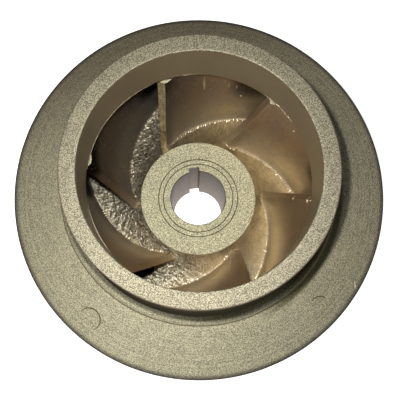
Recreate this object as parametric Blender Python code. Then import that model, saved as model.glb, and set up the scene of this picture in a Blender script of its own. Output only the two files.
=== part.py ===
"""Closed pump impeller, a one-piece bronze casting for a centrifugal pump.

The shaft axis is Z. The hub's rear end stands on Z = 0, the suction eye faces +Z and the keyway
lies on +Y. Six backward-curved vanes run between the back shroud and the front shroud. The
casting is divided where its features meet, so that each one is a solid of its own.
"""

import math

import bmesh
import bpy
from mathutils import Matrix, Vector

MM = 0.001

# Rim, the largest diameter of both shrouds: 8 inches
RIM_RADIUS = 101.6 * MM
RIM_ROUND = 1.2 * MM

# Hub: a plain boss, 2 inches long, bored for a 1 1/4 inch shaft with a 1/4 inch key
HUB_RADIUS = 33.5 * MM
HUB_LENGTH = 50.8 * MM
HUB_CHAMFER = 0.5 * MM
BORE_RADIUS = 15.875 * MM
BORE_CHAMFER = 0.4 * MM
KEY_WIDTH = 6.35 * MM
KEY_DEPTH = 2.4 * MM

# Back shroud: flat turned back, dished floor that rises to the hub
BACK_FACE_Z = 32.0 * MM
FLOOR_Z = 36.9 * MM
FLOOR_AT_HUB_Z = 49.4 * MM
FLOOR_FADE = 17.0 * MM
BOSS_FILLET = 6.0 * MM

# Front shroud: a shallow cone that turns up into the neck of the eye
RIM_TOP_Z = 67.8 * MM
SHROUD_SLOPE = math.radians(20.0)
SHROUD_THICKNESS = 5.0 * MM
NECK_RISE = 10.5 * MM
NECK_FADE = 4.5 * MM
SHOULDER_RADIUS = 73.6 * MM
SHOULDER_STEP = 1.3 * MM
SHOULDER_ROUND = 1.6 * MM
NECK_FILLET = 1.6 * MM

# Eye ring: the machined suction collar
RING_OUTER_RADIUS = 66.0 * MM
RING_INNER_RADIUS = 57.6 * MM
RING_TOP_Z = 114.4 * MM
RING_FOOT_Z = 89.1 * MM
RING_OUTER_ROUND = 0.8 * MM
RING_INNER_ROUND = 0.5 * MM

# Vanes: equal blades between the two shrouds
VANE_COUNT = 6
VANE_THICKNESS = 4.0 * MM
VANE_EYE_RADIUS = 58.2 * MM
VANE_HUB_RADIUS = 37.0 * MM
VANE_OUTLET_DEG = 2.5
OUTLET_ANGLE = math.radians(32.0)
INLET_ANGLE_AT_HUB = math.radians(22.2)
INLET_ANGLE_AT_EYE = math.radians(11.75)
VANE_NOSE_LENGTH = 3.0 * MM
# How far the cores left each vane's leading edge from even spacing, in degrees at its two ends
FOOT_SHIFT_DEG = (-2.4, -1.2, 2.4, 1.0, 0.0, -0.6)
TIP_SHIFT_DEG = (-0.8, -1.6, 1.0, 3.4, 1.8, 1.0)

# Working clearance between neighbouring solids
GAP = 0.3 * MM

# Facets round the axis, along each profile and along a vane
TURN_STEPS = 72
PROFILE_STEPS = 9
NECK_STEPS = 6
CONE_STEPS = 2
CHANNEL_STEPS = 14
ARC_STEPS = 3
FILLET_STEPS = 4
VANE_STEPS = 18
NOSE_STEPS = 4
SPAN_STEPS = 3
SHARP_ANGLE = math.radians(35.0)

# Shares of a vane's length or height: its nose, its trimming allowances and a step for its run
NOSE_SHARE = 0.045
PAST_RIM_SHARE = 1.03
VANE_OVERLAP = 0.08
RUN_STEP = 0.002

# Length of the keyway cutter as a share of the hub's, and the step that measures a surface's slope
CUTTER_LENGTH_SHARE = 1.2
SLOPE_STEP = 0.1 * MM

# Finishes, each as linear colour and roughness
BLASTED_FINISH = ((0.40, 0.36, 0.24), 0.55)
TURNED_FINISH = ((0.42, 0.37, 0.26), 0.45)
AS_CAST_FINISH = ((0.25, 0.19, 0.11), 0.50)


def clear_scene():
    """Remove every object that is in the scene."""
    for obj in list(bpy.data.objects):
        bpy.data.objects.remove(obj, do_unlink=True)


def bronze(name, finish):
    """Return a bronze material for one surface finish."""
    colour, roughness = finish
    material = bpy.data.materials.new(name)
    material.use_nodes = True
    shader = material.node_tree.nodes["Principled BSDF"]
    shader.inputs["Base Color"].default_value = (*colour, 1.0)
    shader.inputs["Metallic"].default_value = 1.0
    shader.inputs["Roughness"].default_value = roughness
    return material


def add_object(name, bm, material):
    """Turn a bmesh into a smooth-shaded object."""
    bmesh.ops.recalc_face_normals(bm, faces=bm.faces)
    mesh = bpy.data.meshes.new(name)
    bm.to_mesh(mesh)
    bm.free()
    mesh.shade_smooth()
    mesh.set_sharp_from_angle(angle=SHARP_ANGLE)
    mesh.materials.append(material)
    obj = bpy.data.objects.new(name, mesh)
    bpy.context.scene.collection.objects.link(obj)
    return obj


def turned(name, profile, material):
    """Turn a closed profile of (radius, height) points about the shaft axis."""
    bm = bmesh.new()
    points = [bm.verts.new((radius, 0.0, height)) for radius, height in profile]
    edges = [bm.edges.new((a, b)) for a, b in zip(points, points[1:] + points[:1])]
    bmesh.ops.spin(bm, geom=points + edges, cent=(0.0, 0.0, 0.0), axis=(0.0, 0.0, 1.0),
                   angle=math.tau, steps=TURN_STEPS, use_merge=True)
    return add_object(name, bm, material)


def arc(centre, radius, start_deg, end_deg, steps=ARC_STEPS):
    """Return points of a round corner in the profile plane."""
    points = []
    for i in range(steps + 1):
        angle = math.radians(start_deg + (end_deg - start_deg) * i / steps)
        points.append((centre[0] + radius * math.cos(angle), centre[1] + radius * math.sin(angle)))
    return points


def along(height, start, end, steps=PROFILE_STEPS):
    """Return points of a surface of revolution from one radius to another."""
    radii = [start + (end - start) * i / steps for i in range(steps + 1)]
    return [(radius, height(radius)) for radius in radii]


def floor_height(radius):
    """Height of the back shroud's floor, which fades from the hub to a flat outlet."""
    fade = math.exp(-(radius - HUB_RADIUS) / FLOOR_FADE)
    return FLOOR_Z + (FLOOR_AT_HUB_Z - FLOOR_Z) * fade


def shroud_top(radius):
    """Height of the front shroud's outside."""
    return RIM_TOP_Z + (RIM_RADIUS - radius) * math.tan(SHROUD_SLOPE)


def shroud_inside(radius):
    """Height of the front shroud's inside, which turns up into the neck."""
    cone = shroud_top(radius) - SHROUD_THICKNESS / math.cos(SHROUD_SLOPE)
    return cone + NECK_RISE * math.exp(-(radius - RING_INNER_RADIUS) / NECK_FADE)


def hub(material):
    """Boss with its bore, and the keyway cut right through."""
    profile = [
        (BORE_RADIUS + BORE_CHAMFER, 0.0),
        (HUB_RADIUS - HUB_CHAMFER, 0.0),
        (HUB_RADIUS, HUB_CHAMFER),
        (HUB_RADIUS, HUB_LENGTH - HUB_CHAMFER),
        (HUB_RADIUS - HUB_CHAMFER, HUB_LENGTH),
        (BORE_RADIUS + BORE_CHAMFER, HUB_LENGTH),
        (BORE_RADIUS, HUB_LENGTH - BORE_CHAMFER),
        (BORE_RADIUS, BORE_CHAMFER),
    ]
    body = turned("hub", profile, material)
    bm = bmesh.new()
    bmesh.ops.create_cube(bm, size=1.0)
    slot_reach = BORE_RADIUS + KEY_DEPTH
    bm.transform(Matrix.LocRotScale(Vector((0.0, slot_reach / 2, HUB_LENGTH / 2)), None,
                                    Vector((KEY_WIDTH, slot_reach, HUB_LENGTH * CUTTER_LENGTH_SHARE))))
    cutter = add_object("keyway_cutter", bm, material)
    cut_with(body, cutter, "DIFFERENCE")


def cut_with(body, cutter, operation):
    """Shape one object with another that is itself left out of the model."""
    cutter.hide_render = True
    cutter.display_type = "WIRE"
    cut = body.modifiers.new(cutter.name, "BOOLEAN")
    cut.operation = operation
    cut.solver = "EXACT"
    cut.object = cutter


def back_shroud(material):
    """Disc behind the vanes, with a fillet down to the boss."""
    inner = HUB_RADIUS + GAP
    outer = RIM_RADIUS - RIM_ROUND
    fillet_centre = (inner + BOSS_FILLET, BACK_FACE_Z - BOSS_FILLET)
    profile = along(floor_height, inner, outer)
    profile.append((RIM_RADIUS, floor_height(outer) - RIM_ROUND))
    profile.append((RIM_RADIUS, BACK_FACE_Z + RIM_ROUND))
    profile.append((outer, BACK_FACE_Z))
    profile += arc(fillet_centre, BOSS_FILLET, 90.0, 180.0, FILLET_STEPS)
    turned("back_shroud", profile, material)


def front_shroud(material):
    """Coned disc in front of the vanes, its shoulder and the neck under the eye ring."""
    outer = RIM_RADIUS - RIM_ROUND
    foot = RING_FOOT_Z - GAP
    shoulder_in = RING_OUTER_RADIUS + NECK_FILLET
    shoulder_out = SHOULDER_RADIUS - SHOULDER_ROUND
    shoulder_top = shroud_top(shoulder_out) + SHOULDER_STEP
    neck_root = shoulder_top + (shoulder_out - shoulder_in) * math.tan(SHROUD_SLOPE / 2)
    profile = along(shroud_inside, RING_INNER_RADIUS + GAP, SHOULDER_RADIUS, NECK_STEPS)
    profile.pop()
    profile += along(shroud_inside, SHOULDER_RADIUS, outer, CONE_STEPS)
    profile.append((RIM_RADIUS, shroud_inside(outer) + RIM_ROUND))
    profile.append((RIM_RADIUS, RIM_TOP_Z - RIM_ROUND))
    profile.append((outer, shroud_top(outer)))
    profile.append((SHOULDER_RADIUS, shroud_top(SHOULDER_RADIUS)))
    profile.append((shoulder_out, shoulder_top))
    profile += arc((shoulder_in, neck_root + NECK_FILLET), NECK_FILLET, 270.0, 180.0)
    profile.append((RING_OUTER_RADIUS, foot))
    profile.append((RING_INNER_RADIUS, foot))
    turned("front_shroud", profile, material)


def eye_ring(material):
    """Machined collar round the suction eye."""
    round_centre = (RING_OUTER_RADIUS - RING_OUTER_ROUND, RING_TOP_Z - RING_OUTER_ROUND)
    profile = [(RING_INNER_RADIUS, RING_FOOT_Z), (RING_OUTER_RADIUS, RING_FOOT_Z)]
    profile += arc(round_centre, RING_OUTER_ROUND, 0.0, 90.0)
    profile.append((RING_INNER_RADIUS + RING_INNER_ROUND, RING_TOP_Z))
    profile.append((RING_INNER_RADIUS, RING_TOP_Z - RING_INNER_ROUND))
    turned("eye_ring", profile, material)


def spiral(inlet_radius, inlet_angle, share):
    """Point of a vane line in plan, as (radius, angle), from inlet (0) to outlet (1).

    The blade angle, measured from the rim's direction, opens evenly from the inlet to the outlet.
    """
    full = math.log(RIM_RADIUS / inlet_radius)
    run = full * (1.0 - share)
    radius = RIM_RADIUS * math.exp(-run)
    cot_out = 1.0 / math.tan(OUTLET_ANGLE)
    cot_in = 1.0 / math.tan(inlet_angle)
    angle = cot_out * run + (cot_in - cot_out) * run * run / (2.0 * full)
    return radius, angle + math.radians(VANE_OUTLET_DEG)


def vane_line(share, number):
    """Ends of the straight line across a vane's middle surface, on the floor and on the shroud.

    The casting's own shift is full at the leading edge and fades out towards the rim.
    """
    foot_radius, foot_angle = spiral(VANE_HUB_RADIUS, INLET_ANGLE_AT_HUB, share)
    tip_radius, tip_angle = spiral(VANE_EYE_RADIUS, INLET_ANGLE_AT_EYE, share)
    foot_angle += math.radians(FOOT_SHIFT_DEG[number]) * (1.0 - share)
    tip_angle += math.radians(TIP_SHIFT_DEG[number]) * (1.0 - share)
    foot = Vector((foot_radius * math.cos(foot_angle), foot_radius * math.sin(foot_angle),
                   floor_height(foot_radius)))
    tip = Vector((tip_radius * math.cos(tip_angle), tip_radius * math.sin(tip_angle),
                  shroud_inside(tip_radius)))
    return foot, tip


def vane_shares():
    """Steps along a vane: close together on the rounded nose, then even to past the rim."""
    nose = [NOSE_SHARE * (1.0 - math.cos(math.pi / 2 * i / NOSE_STEPS)) for i in range(NOSE_STEPS)]
    length = PAST_RIM_SHARE - NOSE_SHARE
    body = [NOSE_SHARE + length * i / VANE_STEPS for i in range(VANE_STEPS + 1)]
    return nose + body


def vane_blank(name, number, material):
    """Oversize vane: a curved plate with a rounded nose, taller than the flow channel."""
    rows = []
    for share in vane_shares():
        foot, tip = vane_line(share, number)
        ahead_foot, ahead_tip = vane_line(share + RUN_STEP, number)
        distance = (foot - vane_line(0.0, number)[0]).length
        nose = min(1.0, distance / VANE_NOSE_LENGTH)
        half = VANE_THICKNESS / 2 * math.sqrt(1.0 - (1.0 - nose) ** 2)
        row = []
        for i in range(SPAN_STEPS + 1):
            t = -VANE_OVERLAP + (1.0 + 2.0 * VANE_OVERLAP) * i / SPAN_STEPS
            middle = foot.lerp(tip, t)
            run = (ahead_foot.lerp(ahead_tip, t) - middle).normalized()
            side = run.cross((tip - foot).normalized()).normalized()
            row.append((middle + side * half, middle - side * half))
        rows.append(row)
    return plate(name, rows, material)


def plate(name, rows, material):
    """Close a plate from rows of (one side, other side) points; the first row is its sharp nose."""
    bm = bmesh.new()
    grid = []
    for index, row in enumerate(rows):
        if index == 0:
            nose = [bm.verts.new(a) for a, b in row]
            grid.append([(v, v) for v in nose])
        else:
            grid.append([(bm.verts.new(a), bm.verts.new(b)) for a, b in row])
    last = len(rows[0]) - 1
    for row, ahead in zip(grid, grid[1:]):
        for i in range(last):
            quad(bm, row[i][0], ahead[i][0], ahead[i + 1][0], row[i + 1][0])
            quad(bm, row[i][1], row[i + 1][1], ahead[i + 1][1], ahead[i][1])
        for i in (0, last):
            quad(bm, row[i][0], row[i][1], ahead[i][1], ahead[i][0])
    for i in range(last):
        quad(bm, grid[-1][i][0], grid[-1][i][1], grid[-1][i + 1][1], grid[-1][i + 1][0])
    return add_object(name, bm, material)


def quad(bm, *corners):
    """Add a face, as a triangle where two corners are one point."""
    unique = list(dict.fromkeys(corners))
    bm.faces.new(unique)


def channel(material):
    """The turned space between the shrouds, which trims every vane to its seat."""
    inner = HUB_RADIUS + 2.0 * GAP
    outer = RIM_RADIUS - GAP
    eye = RING_INNER_RADIUS + 2.0 * GAP

    def lifted_floor(radius):
        return floor_height(radius) + GAP / math.cos(slope_of(floor_height, radius))

    def lowered_shroud(radius):
        return shroud_inside(radius) - GAP / math.cos(slope_of(shroud_inside, radius))

    profile = along(lifted_floor, inner, outer, CHANNEL_STEPS)
    profile += along(lowered_shroud, outer, eye, CHANNEL_STEPS)
    profile.append((inner, lowered_shroud(eye)))
    return turned("channel_cutter", profile, material)


def slope_of(height, radius):
    """Slope angle of a turned surface at one radius."""
    rise = height(radius + SLOPE_STEP) - height(radius - SLOPE_STEP)
    return math.atan(rise / (2.0 * SLOPE_STEP))


def vanes(material):
    """The ring of vanes, numbered clockwise as seen from the suction side."""
    trim = channel(material)
    for number in range(VANE_COUNT):
        vane = vane_blank(f"vane_{number + 1}", number, material)
        vane.rotation_euler.z = -math.tau * number / VANE_COUNT
        cut_with(vane, trim, "INTERSECT")


def main():
    clear_scene()
    blasted = bronze("blasted_bronze", BLASTED_FINISH)
    turned_bronze = bronze("turned_bronze", TURNED_FINISH)
    as_cast = bronze("as_cast_bronze", AS_CAST_FINISH)
    hub(turned_bronze)
    back_shroud(as_cast)
    front_shroud(blasted)
    eye_ring(turned_bronze)
    vanes(as_cast)


main()
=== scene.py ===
"""Looks of a closed bronze pump impeller: blasted and turned faces, a sand-cast flow channel."""

import math
import random

import bmesh
import bpy
from bpy.props import FloatProperty, FloatVectorProperty, IntProperty, PointerProperty
from mathutils import Matrix, Vector, noise


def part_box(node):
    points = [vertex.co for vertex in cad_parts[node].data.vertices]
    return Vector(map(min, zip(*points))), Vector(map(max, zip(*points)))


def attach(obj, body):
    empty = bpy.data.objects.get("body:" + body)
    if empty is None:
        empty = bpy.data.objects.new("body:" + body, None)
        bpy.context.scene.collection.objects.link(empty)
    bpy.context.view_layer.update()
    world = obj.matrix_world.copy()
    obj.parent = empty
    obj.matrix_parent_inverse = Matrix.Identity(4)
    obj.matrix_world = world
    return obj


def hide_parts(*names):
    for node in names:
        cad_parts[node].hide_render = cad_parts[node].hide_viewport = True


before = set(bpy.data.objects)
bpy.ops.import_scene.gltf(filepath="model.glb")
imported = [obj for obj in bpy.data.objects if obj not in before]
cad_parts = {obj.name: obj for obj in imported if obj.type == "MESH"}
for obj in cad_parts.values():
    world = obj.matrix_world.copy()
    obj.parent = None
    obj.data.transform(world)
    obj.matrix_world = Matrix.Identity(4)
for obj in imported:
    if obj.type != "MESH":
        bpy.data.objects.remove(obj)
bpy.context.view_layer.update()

bl_info = {
    "name": "Pump Impeller Looks",
    "version": (1, 0, 0),
    "blender": (4, 5, 0),
    "location": "3D View > Sidebar > Impeller",
    "description": "Dresses the fixed solids of a closed bronze pump impeller",
    "category": "Object",
}

MM = 0.001
BODY = "root"

# Noise vectors take their offsets from this seed, or else from the clock, and then no two runs are alike
noise.seed_set(1)


def radii_of(node):
    """Smallest and largest distance of a solid's corners from the shaft axis."""
    radii = [math.hypot(v.co.x, v.co.y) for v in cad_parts[node].data.vertices]
    return min(radii), max(radii)


def towards(angle_deg):
    """Level direction at an angle about the shaft axis."""
    return Vector((math.cos(math.radians(angle_deg)), math.sin(math.radians(angle_deg)), 0.0))


# Sizes that the solids fix: the turned pieces' radii and their heights above the hub's rear face
BORE_RADIUS, HUB_RADIUS = radii_of("hub")
RING_INNER, RING_OUTER = radii_of("eye_ring")
RIM_RADIUS = radii_of("front_shroud")[1]
HUB_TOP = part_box("hub")[1].z
RING_FOOT, RING_TOP = (corner.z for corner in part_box("eye_ring"))
VANE_COUNT = sum(name.startswith("vane_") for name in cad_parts)

# The same rules that shape the solids
KEY_WIDTH = 6.35 * MM
KEY_DEPTH = 2.4 * MM
BACK_FACE = 32.0 * MM
FLOOR_Z = 36.9 * MM
FLOOR_AT_HUB = 49.4 * MM
FLOOR_FADE = 17.0 * MM
BOSS_FILLET = 6.0 * MM
RIM_TOP = 67.8 * MM
RIM_ROUND = 1.2 * MM
SHROUD_SLOPE = math.radians(20.0)
SHROUD_THICKNESS = 5.0 * MM
NECK_RISE = 10.5 * MM
NECK_FADE = 4.5 * MM
SHOULDER_RADIUS = 73.6 * MM
SHOULDER_STEP = 1.3 * MM
SHOULDER_ROUND = 1.6 * MM
NECK_FILLET = 1.6 * MM
RING_ROUND = 0.8 * MM
VANE_EYE_RADIUS = 58.2 * MM
VANE_HUB_RADIUS = 37.0 * MM
VANE_OUTLET = math.radians(2.5)
OUTLET_ANGLE = math.radians(32.0)
INLET_ANGLE_AT_HUB = math.radians(22.2)
INLET_ANGLE_AT_EYE = math.radians(11.75)
FOOT_SHIFT_DEG = (-2.4, -1.2, 2.4, 1.0, 0.0, -0.6)
TIP_SHIFT_DEG = (-0.8, -1.6, 1.0, 3.4, 1.8, 1.0)

# How round the vanes' noses are, and how sharp an edge has to be to stay sharp
NOSE_ROUND = 0.8 * MM
SHARP_DEG = 35.0
# Where each vane's real leading edge starts, at its foot and its tip, as shares of the vane past the solid's
NOSE_STARTS = ((0.006, 0.004), (0.0, 0.0), (0.022, 0.005), (0.0, 0.0), (0.0, 0.014), (0.0, 0.010))
# How far the worn, golden finish, which is partly a painted highlight of the lit nose, reaches along each
# vane from its nose
NOSE_SHARES = (0.016, 0.0, 0.0, 0.0, 0.0, 0.0)
# How far under the eye ring the boring tool ran on into each vane's tip
TIP_CUTS = (2.5 * MM, 1.6 * MM, 0.7 * MM, 0.6 * MM, 1.2 * MM, 3.0 * MM)
# The seam along each vane's foot: its bead's radius, whether that is bright, and the share of stitches shown
SEAMS = ((0.10 * MM, False, 0.9), (0.10 * MM, True, 0.5), (0.12 * MM, True, 0.25),
         (0.12 * MM, False, 0.25), (0.14 * MM, False, 0.3), (0.12 * MM, False, 0.42))
# Arcs of the burr under the eye's wall, drawn bright where the wall's foot catches the light, so partly a
# painted highlight: start and end in degrees, the burr's radius, and how ragged it is
BURR_HIGHLIGHTS = ((24.0, 47.0, 0.20 * MM, 1.6), (82.0, 97.0, 0.12 * MM, 1.4), (106.0, 166.0, 0.17 * MM, 0.5),
         (184.0, 212.0, 0.07 * MM, 0.3))
# Core fins: vane, share along and up it where a fin starts and where it ends, and the fin's half width
FINS = ((0, (0.17, 0.96), (0.19, 0.74), 1.0 * MM), (0, (0.28, 0.84), (0.295, 0.75), 0.40 * MM),
        (0, (0.315, 0.82), (0.325, 0.75), 0.30 * MM), (0, (0.365, 0.61), (0.371, 0.59), 0.60 * MM),
        (1, (0.14, 0.93), (0.144, 0.91), 0.70 * MM), (2, (0.004, 0.71), (0.022, 0.71), 0.40 * MM),
        (2, (0.003, 0.965), (0.026, 0.965), 0.50 * MM), (0, (0.012, 0.0), (0.050, 0.0), 0.50 * MM),
        (1, (0.008, 0.03), (0.060, 0.0), 0.35 * MM), (2, (0.006, 0.01), (0.030, 0.0), 0.30 * MM),
        (3, (0.004, 0.01), (0.028, 0.0), 0.35 * MM))
# Casting pads: radius, angle, angle where the groove is deepest, its mean depth, and how much that changes
PADS = ((90.4 * MM, -137.3, 28.0, 0.12 * MM, 0.24 * MM), (90.3 * MM, -53.0, 88.0, -0.72 * MM, 0.95 * MM))
# The dent near the rim: radius, angle, the way it points, and its half length and half width
DENT = (98.2 * MM, -40.0, -89.0, 2.6 * MM, 1.0 * MM)

# Waves in a metre of uneven metal: the flash's teeth and swell, the burr's, and the cores' fine and slow ones
TOOTH_WAVES, SWELL_WAVES, BURR_WAVES, FINE_WAVES, SLOW_WAVES = 900.0, 150.0, 600.0, 420.0, 55.0

# Directions in which the channel floor is coarse and grey, and in which the vanes and the shroud have painted
# shade
ROUGH_SIDE, SHADED_VANE_SIDE, SHADED_SHROUD_SIDE = towards(180.0), towards(142.0), towards(100.0)
# How far out towards its rough side the floor starts to be coarse, and is wholly so
ROUGH_START, ROUGH_END = -12.0 * MM, 26.0 * MM
# Painted shadow of the eye ring round the neck: direction, reach past the shoulder, and how far out that way
# it starts and is full
NECK_SHADOWS = ((-65.0, -1.3 * MM, 45.0 * MM, 66.0 * MM), (-32.0, 4.5 * MM, 54.0 * MM, 70.0 * MM))
# Painted shadows in the pockets deep under the eye ring: radius, angle, height, reach, and how bright the
# middle stays
SHADOW_POCKETS = ((66.0 * MM, 104.5, 62.0 * MM, 13.5 * MM, 0.05), (60.0 * MM, 171.0, 65.0 * MM, 13.0 * MM, 0.05),
           (65.5 * MM, 165.0, 46.0 * MM, 10.0 * MM, 0.05), (55.0 * MM, 223.0, 42.0 * MM, 8.0 * MM, 0.05),
           (50.0 * MM, 226.0, 42.5 * MM, 6.5 * MM, 0.05), (63.0 * MM, 53.5, 72.0 * MM, 17.0 * MM, 0.22),
           (59.5 * MM, -2.5, 70.0 * MM, 12.0 * MM, 0.30))

# The point that the camera looks at, and the lamps: name, place, diameter, watts and colour
AIM = Vector((-5.9 * MM, -27.1 * MM, RIM_TOP))
LAMPS = (("key", (-0.022, -0.031, 0.316), 0.012, 0.655, "FFFFFF"),
         ("left_fill", (-0.385, -0.452, 0.5), 0.4, 1.45, "FFFFFF"),
         ("low_fill", (-0.18, -0.578, 0.45), 0.3, 0.84, "E5EDFF"))


def colour(code):
    """Linear colour of an sRGB hex code."""
    parts = [int(code[i:i + 2], 16) / 255.0 for i in (0, 2, 4)]
    return [c / 12.92 if c <= 0.04045 else ((c + 0.055) / 1.055) ** 2.4 for c in parts]


def colour_property(label, words, code):
    """A colour that a user can change, given as an sRGB hex code."""
    return FloatVectorProperty(name=label, description=words, subtype="COLOR", size=3,
                               min=0.0, max=1.0, default=colour(code))


def length_property(label, words, value):
    """A length in metres that a user can change."""
    return FloatProperty(name=label, description=words, default=value, unit="LENGTH", precision=5)


def angle_property(label, words, degrees):
    """An angle that a user can change."""
    return FloatProperty(name=label, description=words, default=math.radians(degrees), subtype="ANGLE")


class ImpellerFinish(bpy.types.PropertyGroup):
    """Colours and grain of the bronze's surfaces."""
    hub: colour_property("Hub face", "Turned and bead-blasted bronze of the hub", "EAE5C5")
    hub_low: colour_property("Hub hollow", "The hub's bronze in the hollows of its grain", "9D9983")
    ring: colour_property("Ring face", "Turned and bead-blasted bronze of the eye ring", "B3AB8F")
    ring_low: colour_property("Ring hollow", "The ring's bronze in the hollows of its grain", "6A6452")
    shroud: colour_property("Shroud", "Blasted bronze of the front shroud, a little greener", "DED6B6")
    shroud_low: colour_property("Shroud hollow", "The shroud in the hollows of its grain", "928E79")
    # Painted shade: the shroud darkens towards its rim, a painted dark reflection where the rim would mirror
    # the glowing floor
    rim_shade: colour_property("Handled edge", "Shade of the shroud where hands have darkened it", "6F6C6F")
    # Painted shade on the side of the shroud that the lamps light less
    dimmed: colour_property("Dull side", "Shade of the shroud on its dull side", "DAD6D3")
    # Painted shadow that the eye ring casts on the shroud round the neck
    painted_shade: colour_property("Soil", "Shade of the soil on the shroud round the neck", "9B9786")
    # Painted shade: the rim's edge is black, a painted dark reflection where it would mirror the glowing
    # floor
    rim: colour_property("Tarnished rim", "Dark oxide on the rim's edge", "1E1C1C")
    # Painted shade in the scribed rings, the shoulder's step and the grooves round the casting pads, where
    # little light reaches
    groove: colour_property("Soiled groove", "Soil in the scribed rings and round the casting pads", "6E6444")
    # Painted shade on the eye ring's outer round, which turns away from the light
    edge: colour_property("Soiled edge", "Brown line of soil on the eye ring's outer edge", "7D6654")
    # Painted shadow: the ring's outer wall and the neck under it lie in the shadow of the ring
    neck: colour_property("Soiled neck", "Dark soil in the neck under the eye ring", "514A32")
    skin: colour_property("Cast skin", "Brown sand-cast skin of the vanes", "C6B08B")
    skin_low: colour_property("Cast skin, dark", "Darker patches of the vanes' skin", "AFA18A")
    # Painted shade high up on the vanes, which stands for the sheen that lights them near the floor
    skin_high_shade: colour_property("Cast skin, high up", "Shade of the skin near the front shroud", "E0D3CC")
    # Painted shade on the vanes that turn away from the light
    skin_side_shade: colour_property("Cast skin, old", "Shade of the skin on the old side", "ABB1C2")
    # Painted shadow of the eye ring, high up on the vanes of that shaded side
    ring_shadow: colour_property("Soot", "Shade of the skin high up on the old side", "454545")
    # Worn golden nose, partly a painted highlight of the nose's bevel where it faces the light
    nose: colour_property("Worn nose", "Golden bronze that the water has worn clean", "EAD6A6")
    nose_low: colour_property("Worn nose, dark", "Darker spots of the worn noses", "6E5B3E")
    floor: colour_property("Channel floor, golden", "Smoother golden side of the channel floor", "C9BEA2")
    floor_grey: colour_property("Channel floor, grey", "Coarse grey side of the channel floor", "DCD6C2")
    floor_low: colour_property("Channel floor, hollow", "Shade of the hollows in the floor", "B0A690")
    floor_even: colour_property("Channel floor, even", "Shade of the golden side's shallow hollows", "F6F6F6")
    floor_dull: colour_property("Channel floor, dull", "Shade of the floor's larger dull patches", "E7E7E5")
    bored: colour_property("Bored wall", "Smooth bored wall inside the eye ring", "8B7C64")
    reamed: colour_property("Reamed bore", "Reamed wall of the shaft bore and the keyway", "7A6C60")
    # Also the painted highlight on the burr under the eye's wall
    flash: colour_property("Casting flash", "Bright broken edge where the moulds met", "F2E6C8")
    grain: length_property("Blast grain", "Size of the blasted surface's grain", 0.5 * MM)
    sand: length_property("Sand grain", "Size of the sand-cast surface's grain", 1.5 * MM)


class ImpellerDetail(bpy.types.PropertyGroup):
    """Sizes of the small forms that the solids leave out."""
    groove_outer: length_property("Outer ring", "Radius of the outer scribed ring on the hub", 23.0 * MM)
    groove_inner: length_property("Inner ring", "Radius of the inner scribed ring on the hub", 20.2 * MM)
    groove_depth: length_property("Ring depth", "Depth of the scribed rings", 0.35 * MM)
    vane_thickness: length_property("Vane thickness", "Thickness of a vane", 4.0 * MM)
    vane_fillet: length_property("Vane fillet", "Radius where a vane meets a shroud", 0.7 * MM)
    nose_bevel: length_property("Nose bevel", "Width of the bevel along a vane's leading edge", 2.2 * MM)
    vane_bow: length_property("Vane hollow", "How far a vane's hub side is hollowed", 2.2 * MM)
    floor_relief: length_property("Floor relief", "Height of the sand texture on the floor", 1.0 * MM)
    pad_radius: length_property("Pad radius", "Radius of the round casting pads", 6.0 * MM)
    pad_groove: length_property("Pad groove", "Half width of the groove round a casting pad", 0.38 * MM)
    turn_steps: IntProperty(name="Turn steps", description="Facets round a turned surface",
                            default=540, min=72)


class ImpellerStage(bpy.types.PropertyGroup):
    """Camera and floor."""
    elevation: angle_property("Camera elevation", "Angle above the horizon", 81.6)
    azimuth: angle_property("Camera azimuth", "Turn of the camera about the shaft axis", -5.22)
    roll: angle_property("Camera roll", "Turn of the camera about its own axis", -2.7)
    distance: length_property("Camera distance", "From the camera to the point it looks at", 284.5 * MM)
    lens: FloatProperty(name="Lens", description="Focal length in millimetres", default=47.15,
                        subtype="DISTANCE_CAMERA")
    floor: colour_property("Floor", "Plain pale floor", "F0F0F0")
    floor_glow: FloatProperty(name="Floor glow", description="Light that comes through the pale sheet",
                              default=1.0, min=0.0)


# Materials

# Sockets of a Mix node for its two colours and its result
MIX_FIRST, MIX_SECOND, MIX_RESULT = 6, 7, 2


def add_node(tree, kind, values=None, links=None, **properties):
    """Add a shader node, set its properties and sockets, and link its inputs."""
    node = tree.nodes.new(kind)
    for key, value in properties.items():
        setattr(node, key, value)
    for key, value in (values or {}).items():
        node.inputs[key].default_value = value
    for key, socket in (links or {}).items():
        tree.links.new(socket, node.inputs[key])
    return node


def new_material(name):
    """An empty material with its nodes, and the coordinates of the part's own frame."""
    material = bpy.data.materials.new(name)
    material.use_nodes = True
    coords = add_node(material.node_tree, "ShaderNodeTexCoord")
    return material, material.node_tree, coords.outputs["Object"]


def complete(material, skin, height, depth, strength, metallic, roughness):
    """Give a material its skin's colour, the relief of its height, its metal and its roughness."""
    tree = material.node_tree
    shader = tree.nodes["Principled BSDF"]
    bump = add_node(tree, "ShaderNodeBump", {"Strength": strength, "Distance": depth}, {"Height": height})
    tree.links.new(skin, shader.inputs["Base Color"])
    tree.links.new(bump.outputs["Normal"], shader.inputs["Normal"])
    shader.inputs["Metallic"].default_value = metallic
    shader.inputs["Roughness"].default_value = roughness
    return material


def shade(tree, skin, tone, *fades):
    """Multiply a skin by a tone, as far as all of its fades, each a (measure, start, end), have come."""
    share = None
    for measure, start, end in fades:
        links = {"Value": measure} if share is None else {"Value": measure, "To Max": share}
        fade = add_node(tree, "ShaderNodeMapRange", {"From Min": start, "From Max": end}, links,
                        interpolation_type="SMOOTHSTEP")
        share = fade.outputs["Result"]
    shaded = add_node(tree, "ShaderNodeMix", {MIX_SECOND: (*tone, 1.0)}, {"Factor": share, MIX_FIRST: skin},
                      data_type="RGBA", blend_type="MULTIPLY")
    return shaded.outputs[MIX_RESULT]


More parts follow.
